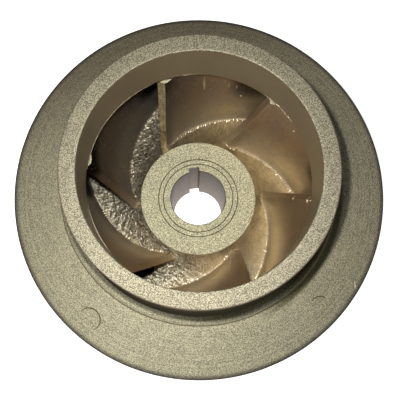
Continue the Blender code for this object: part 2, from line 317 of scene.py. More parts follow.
def blasted_bronze(name, high, low, grain, metallic, roughness, streaks=0.0):
    """Bronze turned on a lathe and bead-blasted: a sharp sparkling grain, over faint rings if streaked.

    The real beads leave pits of about 0.3 mm; the grain is drawn at about 0.5 mm, so that it shows.
    """
    material, tree, coords = new_material(name)
    # Turned aside, so that the lattice of the noise doesn't line up with the faces and show as a weave
    aside = add_node(tree, "ShaderNodeMapping", {"Rotation": (0.6, 0.4, 0.2)}, {"Vector": coords})
    speck = add_node(tree, "ShaderNodeTexNoise", {"Scale": 1.0 / grain, "Detail": 1.0, "Roughness": 0.6},
                     {"Vector": aside.outputs["Vector"]})
    cloud = add_node(tree, "ShaderNodeTexNoise", {"Scale": 0.06 / grain, "Detail": 2.0},
                     {"Vector": aside.outputs["Vector"]})
    tone = add_node(tree, "ShaderNodeMapRange", {"From Min": 0.42, "From Max": 0.58},
                    {"Value": speck.outputs["Fac"]}, clamp=False)
    tint = add_node(tree, "ShaderNodeMapRange",
                    {"From Min": 0.3, "From Max": 0.7, "To Min": -0.1, "To Max": 0.1},
                    {"Value": cloud.outputs["Fac"]})
    both = add_node(tree, "ShaderNodeMath", {}, {0: tone.outputs["Result"], 1: tint.outputs["Result"]},
                    operation="ADD")
    share, height = both.outputs["Value"], speck.outputs["Fac"]
    if streaks > 0.0:
        flat = add_node(tree, "ShaderNodeVectorMath", {1: (1.0, 1.0, 0.0)}, {0: coords}, operation="MULTIPLY")
        radius = add_node(tree, "ShaderNodeVectorMath", {}, {0: flat.outputs["Vector"]}, operation="LENGTH")
        ring = add_node(tree, "ShaderNodeTexNoise", {"Scale": 1.0 / (1.3 * MM), "Detail": 1.0},
                        {"W": radius.outputs["Value"]}, noise_dimensions="1D")
        tool = add_node(tree, "ShaderNodeMapRange",
                        {"From Min": 0.25, "From Max": 0.75, "To Min": -streaks, "To Max": streaks},
                        {"Value": ring.outputs["Fac"]})
        share, height = (add_node(tree, "ShaderNodeMath", {}, {0: tool.outputs["Result"], 1: plain},
                                  operation="ADD").outputs["Value"] for plain in (share, height))
    mixed = add_node(tree, "ShaderNodeMix", {MIX_FIRST: (*low, 1.0), MIX_SECOND: (*high, 1.0)},
                     {"Factor": share}, data_type="RGBA")
    skin = mixed.outputs[MIX_RESULT]
    # The shroud's skin also takes its painted shade here
    if streaks > 0.0:
        skin = paint_shroud_shade(tree, skin, coords, radius.outputs["Value"])
    return complete(material, skin, height, 0.4 * grain, 1.0, metallic, roughness)


def paint_shroud_shade(tree, skin, coords, radius):
    """Paint shade on the shroud: darker towards the rim, darker on one side, and the ring's painted shadow
    round the neck.
    """
    look = bpy.context.scene.impeller_finish
    skin = shade(tree, skin, look.rim_shade, (radius, RIM_RADIUS - 3.6 * MM, RIM_RADIUS + 0.2 * MM))
    side = add_node(tree, "ShaderNodeVectorMath", {1: SHADED_SHROUD_SIDE}, {0: coords}, operation="DOT_PRODUCT")
    skin = shade(tree, skin, look.dimmed, (side.outputs["Value"], 35.0 * MM, 95.0 * MM))
    for angle_deg, past, start, end in NECK_SHADOWS:
        neck = SHOULDER_RADIUS + past
        low = add_node(tree, "ShaderNodeVectorMath", {1: towards(angle_deg)}, {0: coords},
                       operation="DOT_PRODUCT")
        skin = shade(tree, skin, look.painted_shade, (low.outputs["Value"], start, end),
                     (radius, neck, neck - 2.5 * MM))
    return skin


def cast_bronze(name, high, low, sand, roughness, relief, vane_shades=None):
    """Sand-cast bronze: an oxide skin with the print of the sand, uneven patches and bright specks.

    The vane shades are a pair of tones of painted shade: one for high up on the vanes and one for their side
    that the light misses.
    """
    material, tree, coords = new_material(name)
    grit = add_node(tree, "ShaderNodeTexNoise", {"Scale": 1.0 / sand, "Detail": 4.0, "Roughness": 0.6},
                    {"Vector": coords})
    patch = add_node(tree, "ShaderNodeTexNoise", {"Scale": 0.09 / sand, "Detail": 3.0}, {"Vector": coords})
    both = add_node(tree, "ShaderNodeMath", {}, {0: grit.outputs["Fac"], 1: patch.outputs["Fac"]},
                    operation="ADD")
    share = add_node(tree, "ShaderNodeMapRange", {"From Min": 0.74, "From Max": 1.26},
                     {"Value": both.outputs["Value"]})
    mixed = add_node(tree, "ShaderNodeMix", {MIX_FIRST: (*low, 1.0), MIX_SECOND: (*high, 1.0)},
                     {"Factor": share.outputs["Result"]}, data_type="RGBA")
    skin = mixed.outputs[MIX_RESULT]
    if vane_shades:
        skin = paint_vane_shade(tree, skin, coords, patch.outputs["Fac"], *vane_shades)
    spot = add_node(tree, "ShaderNodeTexNoise", {"Scale": 1.3 / sand, "Detail": 0.0}, {"Vector": coords})
    fleck = add_node(tree, "ShaderNodeMapRange", {"From Min": 0.70, "From Max": 0.76, "To Max": 0.25},
                     {"Value": spot.outputs["Fac"]})
    flecked = add_node(tree, "ShaderNodeMix", {MIX_SECOND: (*high, 1.0)},
                       {"Factor": fleck.outputs["Result"], MIX_FIRST: skin}, data_type="RGBA")
    return complete(material, flecked.outputs[MIX_RESULT], grit.outputs["Fac"], 0.12 * sand, relief, 1.0,
                    roughness)


def paint_vane_shade(tree, skin, coords, patch, high_tone, side_tone):
    """Paint shade on the vanes' skin: one tone high up, another on the side that the light misses, and the
    ring's painted shadow high up there.
    """
    start, end, wave = FLOOR_Z + 12.0 * MM, FLOOR_Z + 36.0 * MM, 8.0 * MM
    split = add_node(tree, "ShaderNodeSeparateXYZ", {}, {"Vector": coords})
    wavy = add_node(tree, "ShaderNodeMath", {1: wave}, {0: patch, 2: split.outputs["Z"]},
                    operation="MULTIPLY_ADD")
    side = add_node(tree, "ShaderNodeVectorMath", {1: SHADED_VANE_SIDE}, {0: coords}, operation="DOT_PRODUCT")
    out = side.outputs["Value"]
    skin = shade(tree, skin, high_tone, (wavy.outputs["Value"], start + wave / 2, end + wave / 2))
    skin = shade(tree, skin, side_tone, (out, 10.0 * MM, 50.0 * MM))
    skin = shade(tree, skin, bpy.context.scene.impeller_finish.ring_shadow, (out, 34.0 * MM, 47.0 * MM),
                 (split.outputs["Z"], RING_FOOT - 15.0 * MM, RING_FOOT - 7.0 * MM))
    return paint_pocket_shadows(tree, skin, coords)


def paint_pocket_shadows(tree, skin, coords):
    """Paint shadow on a skin in the deep pockets under the eye ring, where no light reaches."""
    for radius, angle_deg, height, reach, bright in SHADOW_POCKETS:
        centre = towards(angle_deg) * radius + Vector((0.0, 0.0, height))
        away = add_node(tree, "ShaderNodeVectorMath", {1: centre}, {0: coords}, operation="DISTANCE")
        skin = shade(tree, skin, (bright, bright, bright), (away.outputs["Value"], reach, 0.4 * reach))
    return skin


def channel_bronze(name, look, sand, roughness):
    """Channel floor: grey and coarse like wrinkled gravel on one side, golden and scratched on the other.

    The fine radial scratches are drawn about 0.6 mm wide, coarser than the real ones, so that they show.
    """
    material, tree, coords = new_material(name)
    side = add_node(tree, "ShaderNodeVectorMath", {1: ROUGH_SIDE}, {0: coords}, operation="DOT_PRODUCT")
    rough = add_node(tree, "ShaderNodeMapRange", {"From Min": ROUGH_START, "From Max": ROUGH_END},
                     {"Value": side.outputs["Value"]}, interpolation_type="SMOOTHSTEP")
    grit = add_node(tree, "ShaderNodeTexNoise",
                    {"Scale": 1.0 / sand, "Detail": 2.0, "Roughness": 0.5, "Distortion": 1.5},
                    {"Vector": coords})
    # The scratches' width holds near the hub, at a radius of 39 mm, and they are ten times as long
    per_turn, per_metre = 39.0 / 0.6, 1.0 / (6.25 * MM)
    split = add_node(tree, "ShaderNodeSeparateXYZ", {}, {"Vector": coords})
    turn = add_node(tree, "ShaderNodeMath", {}, {0: split.outputs["Y"], 1: split.outputs["X"]},
                    operation="ARCTAN2")
    flat = add_node(tree, "ShaderNodeVectorMath", {1: (1.0, 1.0, 0.0)}, {0: coords}, operation="MULTIPLY")
    out = add_node(tree, "ShaderNodeVectorMath", {}, {0: flat.outputs["Vector"]}, operation="LENGTH")
    polar = add_node(tree, "ShaderNodeCombineXYZ", {},
                     {"X": turn.outputs["Value"], "Y": out.outputs["Value"]})
    drawn = add_node(tree, "ShaderNodeVectorMath", {1: (per_turn, per_metre, 0.0)},
                     {0: polar.outputs["Vector"]}, operation="MULTIPLY")
    scratch = add_node(tree, "ShaderNodeTexNoise", {"Scale": 1.0, "Detail": 2.0},
                       {"Vector": drawn.outputs["Vector"]})
    fine = add_node(tree, "ShaderNodeMath", {1: 0.45}, {0: scratch.outputs["Fac"]}, operation="MULTIPLY")
    height = add_node(tree, "ShaderNodeMath", {}, {0: grit.outputs["Fac"], 1: rough.outputs["Result"],
                                                   2: fine.outputs["Value"]}, operation="MULTIPLY_ADD")
    sides = add_node(tree, "ShaderNodeMix",
                     {MIX_FIRST: (*look.floor, 1.0), MIX_SECOND: (*look.floor_grey, 1.0)},
                     {"Factor": rough.outputs["Result"]}, data_type="RGBA")
    raised = add_node(tree, "ShaderNodeMapRange", {"From Min": 0.38, "From Max": 0.62},
                      {"Value": grit.outputs["Fac"]})
    hollow = add_node(tree, "ShaderNodeMix",
                      {MIX_FIRST: (*look.floor_low, 1.0), MIX_SECOND: (1.0, 1.0, 1.0, 1.0)},
                      {"Factor": raised.outputs["Result"]}, data_type="RGBA")
    smooth = add_node(tree, "ShaderNodeMapRange", {"To Min": 0.65, "To Max": 0.0},
                      {"Value": rough.outputs["Result"]})
    shallow = add_node(tree, "ShaderNodeMix", {MIX_SECOND: (*look.floor_even, 1.0)},
                       {"Factor": smooth.outputs["Result"], MIX_FIRST: hollow.outputs[MIX_RESULT]},
                       data_type="RGBA")
    grained = add_node(tree, "ShaderNodeMix", {"Factor": 1.0},
                       {MIX_FIRST: sides.outputs[MIX_RESULT], MIX_SECOND: shallow.outputs[MIX_RESULT]},
                       data_type="RGBA", blend_type="MULTIPLY")
    patch = add_node(tree, "ShaderNodeTexNoise", {"Scale": 0.3 / sand, "Detail": 1.0}, {"Vector": coords})
    worn = add_node(tree, "ShaderNodeMapRange", {"From Min": 0.65, "From Max": 0.35},
                    {"Value": patch.outputs["Fac"]})
    dimmed = add_node(tree, "ShaderNodeMix", {MIX_SECOND: (*look.floor_dull, 1.0)},
                      {"Factor": worn.outputs["Result"], MIX_FIRST: grained.outputs[MIX_RESULT]},
                      data_type="RGBA", blend_type="MULTIPLY")
    # Painted shadows in the pockets under the ring
    skin = paint_pocket_shadows(tree, dimmed.outputs[MIX_RESULT], coords)
    return complete(material, skin, height.outputs["Value"], 0.30 * sand, 1.0, 1.0, roughness)


def bored_bronze(name, tone, metallic, roughness):
    """Bored or reamed bronze: smooth, with faint stains and the fine lines that the tool leaves."""
    material, tree, coords = new_material(name)
    split = add_node(tree, "ShaderNodeSeparateXYZ", {}, {"Vector": coords})
    line = add_node(tree, "ShaderNodeTexNoise", {"Scale": 1.0 / (0.8 * MM), "Detail": 2.0},
                    {"W": split.outputs["Z"]}, noise_dimensions="1D")
    stain = add_node(tree, "ShaderNodeTexNoise", {"Scale": 1.0 / (16.7 * MM), "Detail": 3.0},
                     {"Vector": coords})
    both = add_node(tree, "ShaderNodeMath", {}, {0: line.outputs["Fac"], 1: stain.outputs["Fac"]},
                    operation="ADD")
    share = add_node(tree, "ShaderNodeMapRange", {"From Min": 0.6, "From Max": 1.4},
                     {"Value": both.outputs["Value"]})
    dark = [0.8 * c for c in tone]
    mixed = add_node(tree, "ShaderNodeMix", {MIX_FIRST: (*dark, 1.0), MIX_SECOND: (*tone, 1.0)},
                     {"Factor": share.outputs["Result"]}, data_type="RGBA")
    return complete(material, mixed.outputs[MIX_RESULT], line.outputs["Fac"], 0.02 * MM, 0.2, metallic,
                    roughness)


def finish(kind):
    """Return one of the part's materials, made the first time it is asked for."""
    if kind in bpy.data.materials:
        return bpy.data.materials[kind]
    look = bpy.context.scene.impeller_finish
    grain, sand = look.grain, look.sand
    recipes = {
        # Pale greenish gold that sparkles: darker on the ring, finer and in faint rings on the shroud
        "blasted_bronze_hub": (blasted_bronze, look.hub, look.hub_low, grain, 1.0, 0.75),
        "blasted_bronze_ring": (blasted_bronze, look.ring, look.ring_low, grain, 0.6, 0.6),
        "blasted_bronze_shroud": (blasted_bronze, look.shroud, look.shroud_low, 0.85 * grain, 1.0, 0.75,
                                  0.17),
        # Black that hardly shines on the rim, a painted dark reflection, and painted shade in the grooves, on
        # the ring's outer edge and in the neck
        "painted_shade_rim": (blasted_bronze, look.rim, look.rim, grain, 1.0, 0.9),
        "painted_shade_groove": (blasted_bronze, look.groove, look.groove, grain, 0.6, 0.7),
        "painted_shade_ring_edge": (blasted_bronze, look.edge, look.edge, grain, 0.6, 0.7),
        "painted_shade_neck": (blasted_bronze, look.neck, look.neck, grain, 0.6, 0.7),
        # Brown skin with a soft shine and painted shade, golden on a nose that the water scrubs and partly a
        # painted highlight, grey and gritty on the floor
        "cast_bronze_vane": (cast_bronze, look.skin, look.skin_low, sand, 0.6, 0.3,
                             (look.skin_high_shade, look.skin_side_shade)),
        "worn_bronze_nose_highlight": (cast_bronze, look.nose, look.nose_low, 0.6 * sand, 0.5, 1.6),
        "cast_bronze_floor": (channel_bronze, look, 1.4 * sand, 0.45),
        # Smooth tool-cut walls with a satin shine
        "bored_bronze": (bored_bronze, look.bored, 0.6, 0.4),
        "reamed_bronze": (bored_bronze, look.reamed, 1.0, 0.55),
        # Fresh broken metal, the brightest thing in the channel, and the painted highlight on the burr under
        # the eye's wall
        "broken_bronze_flash_and_highlight": (cast_bronze, look.flash, look.floor, grain, 0.4, 0.4),
    }
    make, *values = recipes[kind]
    return make(kind, *values)


# Shapes


def arc(centre, radius, start_deg, end_deg, steps):
    """Points of a round corner in the profile plane."""
    angles = [math.radians(start_deg + (end_deg - start_deg) * i / steps) for i in range(steps + 1)]
    return [(centre[0] + radius * math.cos(a), centre[1] + radius * math.sin(a)) for a in angles]


def run(height, start, end, step):
    """Points of a turned surface from one radius to another, one every step or so."""
    count = max(1, round(abs(end - start) / step))
    radii = [start + (end - start) * i / count for i in range(count + 1)]
    return [(radius, height(radius)) for radius in radii]


def straight(start, end, step):
    """Points of a straight line in the profile plane."""
    count = max(1, round(math.dist(start, end) / step))
    return [(start[0] + (end[0] - start[0]) * i / count, start[1] + (end[1] - start[1]) * i / count)
            for i in range(count + 1)]


def floor_height(radius):
    """Height of the channel floor, which fades from the hub to a flat outlet."""
    return FLOOR_Z + (FLOOR_AT_HUB - FLOOR_Z) * math.exp(-(radius - HUB_RADIUS) / FLOOR_FADE)


def shroud_top(radius):
    """Height of the front shroud's outside."""
    return RIM_TOP + (RIM_RADIUS - radius) * math.tan(SHROUD_SLOPE)


def shroud_inside(radius):
    """Height of the front shroud's inside, which turns up into the neck."""
    cone = shroud_top(radius) - SHROUD_THICKNESS / math.cos(SHROUD_SLOPE)
    return cone + NECK_RISE * math.exp(-(radius - RING_INNER) / NECK_FADE)


def band(first, second, count):
    """Faces between two closed rows of corners, given where each row starts."""
    after = [(k + 1) % count for k in range(count)]
    return [(first + k, first + after[k], second + after[k], second + k) for k in range(count)]


def turned(name, sections, steps):
    """Turn a closed profile, given as (finish, points) sections that follow one another, about Z."""
    profile, kinds = [], []
    for kind, points in sections:
        for point in points:
            if not profile or math.dist(point, profile[-1]) > 1e-7:
                profile.append(point)
                kinds.append(kind)
    if math.dist(profile[0], profile[-1]) < 1e-7:
        profile.pop()
        kinds.pop()
    rows = len(profile)
    around = [(math.cos(math.tau * j / steps), math.sin(math.tau * j / steps)) for j in range(steps)]
    corners = [(r * c, r * s, z) for c, s in around for r, z in profile]
    faces = []
    for j in range(steps):
        faces += band(j * rows, (j + 1) % steps * rows, rows)
    names = list(dict.fromkeys(kind for kind, _ in sections))
    piece = new_piece(name, corners, faces, names)
    slots = [names.index(kinds[(i + 1) % rows]) for i in range(rows)]
    piece.data.polygons.foreach_set("material_index", slots * steps)
    return piece


def new_piece(name, corners, faces, finishes):
    """Make a smooth-shaded mesh object with outward faces and its finishes."""
    mesh = bpy.data.meshes.new(name)
    mesh.from_pydata(corners, [], faces)
    for kind in finishes:
        mesh.materials.append(finish(kind))
    bm = bmesh.new()
    bm.from_mesh(mesh)
    bmesh.ops.recalc_face_normals(bm, faces=bm.faces)
    bm.to_mesh(mesh)
    bm.free()
    mesh.shade_smooth()
    mesh.set_sharp_from_angle(angle=math.radians(SHARP_DEG))
    return placed(name, mesh)


def placed(name, data):
    """Put a mesh, a lamp or a camera into the scene as an object."""
    piece = bpy.data.objects.new(name, data)
    bpy.context.scene.collection.objects.link(piece)
    return piece


def simple_piece(name, bm, material):
    """Put a bmesh into the scene as an object of one material."""
    mesh = bpy.data.meshes.new(name)
    bm.to_mesh(mesh)
    bm.free()
    mesh.materials.append(material)
    return placed(name, mesh)


def carve(piece, cutters, sharp_deg=SHARP_DEG):
    """Cut shapes out of a piece, give the cuts the cutters' finishes, and make the result its own mesh."""
    for cutter in cutters:
        cut = piece.modifiers.new(cutter.name, "BOOLEAN")
        cut.object = cutter
        cut.material_mode = "TRANSFER"
    graph = bpy.context.evaluated_depsgraph_get()
    mesh = bpy.data.meshes.new_from_object(piece.evaluated_get(graph))
    mesh.set_sharp_from_angle(angle=math.radians(sharp_deg))
    piece.modifiers.clear()
    piece.data = mesh
    for cutter in cutters:
        bpy.data.objects.remove(cutter)


def settle(piece, slot, *nodes):
    """Fix a piece to the part and hide the solids that it stands for; its slot is not used."""
    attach(piece, BODY)
    if nodes:
        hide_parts(*nodes)


def sand_print(piece, weight_at, relief, size):
    """Press the print of the mould's sand into a piece, as deep as the weight at each corner allows."""
    group = piece.vertex_groups.new(name="sand_cast")
    for vertex in piece.data.vertices:
        weight = weight_at(vertex.co)
        if weight > 0.0:
            group.add([vertex.index], weight, "REPLACE")
    texture = bpy.data.textures.new(f"{piece.name}_sand", "CLOUDS")
    texture.noise_scale = size
    texture.noise_depth = 2
    press = piece.modifiers.new("sand_print", "DISPLACE")
    press.texture = texture
    press.texture_coords = "LOCAL"
    press.vertex_group = group.name
    press.strength = relief
    press.mid_level = 0.5


def smooth_step(low, high, value):
    """Rise from 0 at low to 1 at high."""
    share = min(1.0, max(0.0, (value - low) / (high - low)))
    return share * share * (3.0 - 2.0 * share)


class IMPELLER_OT_hub(bpy.types.Operator):
    """Make the machined hub with its scribed rings, bore and keyway"""
    bl_idname = "impeller.make_hub"
    bl_label = "Hub"

    def execute(self, context):
        detail = context.scene.impeller_detail
        # Bevel of the boss's edges, and half the width of a scribed ring
        edge, groove = 0.35 * MM, 0.28 * MM
        sections = [
            ("blasted_bronze_hub", straight((BORE_RADIUS + edge, 0.0), (HUB_RADIUS - edge, 0.0), 4 * MM)),
            ("blasted_bronze_hub", straight((HUB_RADIUS, edge), (HUB_RADIUS, HUB_TOP - edge), 4 * MM)),
            ("blasted_bronze_hub", [(HUB_RADIUS - edge, HUB_TOP)]),
        ]
        for radius in (detail.groove_outer, detail.groove_inner):
            bottom = HUB_TOP - detail.groove_depth
            sections += [
                ("blasted_bronze_hub", [(radius + groove, HUB_TOP)]),
                # Painted shade in the scribed ring
                ("painted_shade_groove", [(radius + groove / 2, bottom), (radius - groove / 2, bottom),
                                          (radius - groove, HUB_TOP)]),
            ]
        sections += [
            ("blasted_bronze_hub", [(BORE_RADIUS + edge, HUB_TOP)]),
            ("reamed_bronze", straight((BORE_RADIUS, HUB_TOP - edge), (BORE_RADIUS, edge), 4 * MM)),
        ]
        hub = turned("hub_boss", sections, 360)
        carve(hub, [keyway_broach()])
        settle(hub, "machined_bronze", "hub")
        return {"FINISHED"}


def keyway_broach():
    """The tool that cuts the keyway through the bore."""
    reach = BORE_RADIUS + KEY_DEPTH
    bm = bmesh.new()
    bmesh.ops.create_cube(bm, size=1.0)
    bm.transform(Matrix.LocRotScale(Vector((0.0, reach / 2, HUB_TOP / 2)), None,
                                    Vector((KEY_WIDTH, reach, HUB_TOP * 1.2))))
    return simple_piece("keyway_broach", bm, finish("reamed_bronze"))


class IMPELLER_OT_back_shroud(bpy.types.Operator):
    """Make the back shroud with its rough sand-cast floor"""
    bl_idname = "impeller.make_back_shroud"
    bl_label = "Back shroud"

    def execute(self, context):
        detail = context.scene.impeller_detail
        inside = HUB_RADIUS - 0.5 * MM
        outer = RIM_RADIUS - RIM_ROUND
        # Beyond this radius the floor is out of sight, and its steps are longer
        seen = 74.0 * MM
        rim_low = BACK_FACE + RIM_ROUND
        rim_high = floor_height(outer) - RIM_ROUND
        fillet = HUB_RADIUS + BOSS_FILLET
        sections = [
            ("cast_bronze_floor", run(floor_height, inside, seen, 0.55 * MM)),
            ("cast_bronze_floor", run(floor_height, seen, outer, 1.6 * MM)),
            # Painted shade on the rim's rounds
            ("painted_shade_rim", arc((outer, rim_high), RIM_ROUND, 80.0, 0.0, 4)),
            ("painted_shade_rim", arc((outer, rim_low), RIM_ROUND, 0.0, -90.0, 4)),
            ("blasted_bronze_shroud", straight((outer, BACK_FACE), (fillet, BACK_FACE), 3 * MM)),
            ("blasted_bronze_shroud", arc((fillet, BACK_FACE - BOSS_FILLET), BOSS_FILLET, 90.0, 180.0, 8)),
            ("blasted_bronze_shroud", [(inside, BACK_FACE - BOSS_FILLET)]),
        ]
        disc = turned("back_disc", sections, detail.turn_steps)
        low = BACK_FACE + RIM_ROUND * 2.5

        def on_floor(point):
            radius = math.hypot(point.x, point.y)
            if point.z < low:
                return 0.0
            rough = 0.2 + 0.8 * smooth_step(ROUGH_START, ROUGH_END, point.dot(ROUGH_SIDE))
            off_hub = 0.15 + 0.85 * smooth_step(HUB_RADIUS + 3 * MM, HUB_RADIUS + 11 * MM, radius)
            off_rim = 1.0 - smooth_step(RIM_RADIUS - 8 * MM, RIM_RADIUS - 3 * MM, radius)
            return rough * off_hub * off_rim

        sand_print(disc, on_floor, detail.floor_relief, 2.0 * MM)
        settle(disc, "as_cast_bronze", "back_shroud")
        return {"FINISHED"}


class IMPELLER_OT_front_shroud(bpy.types.Operator):
    """Make the coned front shroud with its shoulder, neck and casting pads"""
    bl_idname = "impeller.make_front_shroud"
    bl_label = "Front shroud"

    def execute(self, context):
        detail = context.scene.impeller_detail
        outer = RIM_RADIUS - RIM_ROUND
        # How far the shroud's neck lies under the ring's skin
        tuck = 0.25 * MM
        neck_out = RING_OUTER - tuck
        shoulder_in = RING_OUTER + NECK_FILLET
        shoulder_out = SHOULDER_RADIUS - SHOULDER_ROUND
        shoulder_top = shroud_top(shoulder_out) + SHOULDER_STEP
        neck_root = shoulder_top + (shoulder_out - shoulder_in) * math.tan(SHROUD_SLOPE / 2)
        neck_foot = (shoulder_in + 1.0 * MM, neck_root - 1.0 * MM * math.tan(SHROUD_SLOPE / 2))
        top = RING_FOOT + 1.0 * MM
        low_centre = shroud_inside(outer) + RIM_ROUND
        # The worn round between the cone and the rim
        soft = 1.0 * MM
        soft_radius = RIM_RADIUS - soft
        soft_centre = (soft_radius, shroud_top(soft_radius) - soft / math.cos(SHROUD_SLOPE))
        soft_end = 90.0 - math.degrees(SHROUD_SLOPE)
        step = shoulder_step(shoulder_out, shoulder_top)
        fillet = arc((shoulder_in, neck_root + NECK_FILLET), NECK_FILLET, 270.0, 180.0, 6)
        sections = [
            ("cast_bronze_vane", run(shroud_inside, RING_INNER + tuck, SHOULDER_RADIUS, 0.9 * MM)),
            ("cast_bronze_vane", run(shroud_inside, SHOULDER_RADIUS, outer, 1.6 * MM)),
            # Painted shade on the rim's rounds
            ("painted_shade_rim", arc((outer, low_centre), RIM_ROUND, -90.0, 0.0, 4)),
            ("painted_shade_rim", arc(soft_centre, soft, 0.0, soft_end / 2, 4)),
            ("blasted_bronze_shroud", arc(soft_centre, soft, soft_end / 2, soft_end, 4)),
            ("blasted_bronze_shroud", run(shroud_top, soft_radius - soft, SHOULDER_RADIUS, 0.8 * MM)),
            # Painted shade in the shoulder's step
            ("painted_shade_groove", step[:3]),
            ("blasted_bronze_shroud", step[3:]),
            ("blasted_bronze_shroud", straight((shoulder_out, shoulder_top), neck_foot, 0.8 * MM)),
            # Painted shadow in the neck under the ring
            ("painted_shade_neck", fillet),
            ("painted_shade_neck", [(neck_out, neck_root + 2 * NECK_FILLET), (neck_out, top)]),
            ("cast_bronze_vane", [(RING_INNER + tuck, top)]),
        ]
        cone = turned("coned_shroud", sections, detail.turn_steps)
        sand_print(cone, shroud_weight, 0.3 * MM, 2.2 * MM)
        cut_marks(cone, detail)
        settle(cone, "blasted_bronze", "front_shroud")
        return {"FINISHED"}


def shoulder_step(radius, top):
    """Rounded step from the cone up to the shoulder round the neck."""
    foot = shroud_top(SHOULDER_RADIUS)
    shares = [i / 6 for i in range(7)]
    return [(SHOULDER_RADIUS + (radius - SHOULDER_RADIUS) * share,
             foot + (top - foot) * smooth_step(0.0, 1.0, share)) for share in shares]


def shroud_weight(point):
    """Sand print of the front shroud: full inside the channel, faint outside, none at rim and neck."""
    radius = math.hypot(point.x, point.y)
    rim = 1.0 - smooth_step(RIM_RADIUS - 6 * MM, RIM_RADIUS - 2.5 * MM, radius)
    if point.z > RING_FOOT - 2 * MM:
        return 0.0
    middle = (shroud_top(radius) + shroud_inside(radius)) / 2
    if point.z < middle:
        return rim
    return 0.25 * rim * smooth_step(RING_OUTER + 1 * MM, RING_OUTER + 4 * MM, radius)


class IMPELLER_OT_eye_ring(bpy.types.Operator):
    """Make the machined suction ring with its rounded lip"""
    bl_idname = "impeller.make_eye_ring"
    bl_label = "Eye ring"

    def execute(self, context):
        detail = context.scene.impeller_detail
        # Round at the top of the bored wall, bevel at its foot, and a skirt hidden in the shroud's neck
        lip, bevel = 0.5 * MM, 0.35 * MM
        foot, hidden = RING_FOOT - 4.5 * MM, RING_INNER + 3.0 * MM
        centre = (RING_OUTER - RING_ROUND, RING_TOP - RING_ROUND)
        sections = [
            ("blasted_bronze_ring", straight((hidden, foot), (RING_OUTER, foot), 4 * MM)),
            # Painted shadow on the ring's outer wall
            ("painted_shade_neck", straight((RING_OUTER, foot), (RING_OUTER, centre[1]), 3 * MM)),
            ("painted_shade_neck", arc(centre, RING_ROUND, 0.0, 20.0, 2)),
            # Painted shade on the outer round
            ("painted_shade_ring_edge", arc(centre, RING_ROUND, 20.0, 62.0, 4)),
            ("blasted_bronze_ring", arc(centre, RING_ROUND, 62.0, 90.0, 6)),
            ("blasted_bronze_ring", straight((centre[0], RING_TOP), (RING_INNER + lip, RING_TOP), 2 * MM)),
            ("blasted_bronze_ring", arc((RING_INNER + lip, RING_TOP - lip), lip, 90.0, 180.0, 4)),
            ("bored_bronze", straight((RING_INNER, RING_TOP - lip), (RING_INNER, RING_FOOT + bevel), 3 * MM)),
            ("bored_bronze", [(RING_INNER + bevel, RING_FOOT)]),
            ("cast_bronze_vane", [(hidden, RING_FOOT)]),
        ]
        ring = turned("eye_collar", sections, detail.turn_steps)
        settle(ring, "machined_bronze", "eye_ring")
        return {"FINISHED"}


def spiral(inlet_radius, inlet_angle, share):
    """Point of a vane line in plan, as (radius, angle), from inlet (0) to outlet (1)."""
    full = math.log(RIM_RADIUS / inlet_radius)
    length = full * (1.0 - share)
    cot_out = 1.0 / math.tan(OUTLET_ANGLE)
    cot_in = 1.0 / math.tan(inlet_angle)
    angle = cot_out * length + (cot_in - cot_out) * length * length / (2.0 * full)
    return RIM_RADIUS * math.exp(-length), angle + VANE_OUTLET


def vane_line(share, number):
    """Ends of the straight line across a vane's middle surface, in the vane's own place."""
    turn = -math.tau * number / VANE_COUNT
    foot_share, tip_share = (start + (1.0 - start) * share for start in NOSE_STARTS[number])
    foot_radius, foot_angle = spiral(VANE_HUB_RADIUS, INLET_ANGLE_AT_HUB, foot_share)
    tip_radius, tip_angle = spiral(VANE_EYE_RADIUS, INLET_ANGLE_AT_EYE, tip_share)
    foot_angle += math.radians(FOOT_SHIFT_DEG[number]) * (1.0 - foot_share) + turn
    tip_angle += math.radians(TIP_SHIFT_DEG[number]) * (1.0 - tip_share) + turn
    foot = Vector((foot_radius * math.cos(foot_angle), foot_radius * math.sin(foot_angle),
                   floor_height(foot_radius)))
    tip = Vector((tip_radius * math.cos(tip_angle), tip_radius * math.sin(tip_angle),
                  shroud_inside(tip_radius)))
    return foot, tip


def vane_frame(share, number):
    """The line across a vane and the direction towards the shaft, square to its surface."""
    ahead = 0.002
    foot, tip = vane_line(share, number)
    next_foot, next_tip = vane_line(share + ahead, number)

    def inward(t):
        onward = (next_foot.lerp(next_tip, t) - foot.lerp(tip, t)).normalized()
        return onward.cross((tip - foot).normalized()).normalized()

    return foot, tip, inward


def vane_surface(share, t, number, detail, towards_shaft=True):
    """A point on one side of a vane: a hollowed plate with a bevelled nose and filleted edges."""
    foot, tip, inward = vane_frame(share, number)
    first_foot, first_tip = vane_line(0.0, number)
    gone = (foot.lerp(tip, t) - first_foot.lerp(first_tip, t)).length
    half = detail.vane_thickness / 2
    bevel = min(1.0, gone / detail.nose_bevel)
    back = 1.0 - (1.0 - min(1.0, gone / NOSE_ROUND)) ** 2
    nose_line = -0.5 * half
    offset = nose_line - 0.5 * half * math.sqrt(back)
    if towards_shaft:
        offset = nose_line + (half - nose_line) * bevel
    height = min(max(t, 0.0), max(1.0 - t, 0.0)) * (tip - foot).length
    reach = max(0.0, detail.vane_fillet - height)
    fillet = (detail.vane_fillet - math.sqrt(detail.vane_fillet ** 2 - reach ** 2)) * bevel
    # The hollow is deepest low on the vane, where its factor brings it to full depth, and fades at the nose
    inside = min(1.0, max(0.0, t))
    low, factor, nose = 0.10, 1.35, 0.08
    bow = detail.vane_bow * factor * (1.0 - math.exp(-inside / low)) * (1.0 - inside)
    bow *= smooth_step(0.0, nose, share)
    return foot.lerp(tip, t) + inward(t) * (offset + (fillet if towards_shaft else -fillet) - bow)


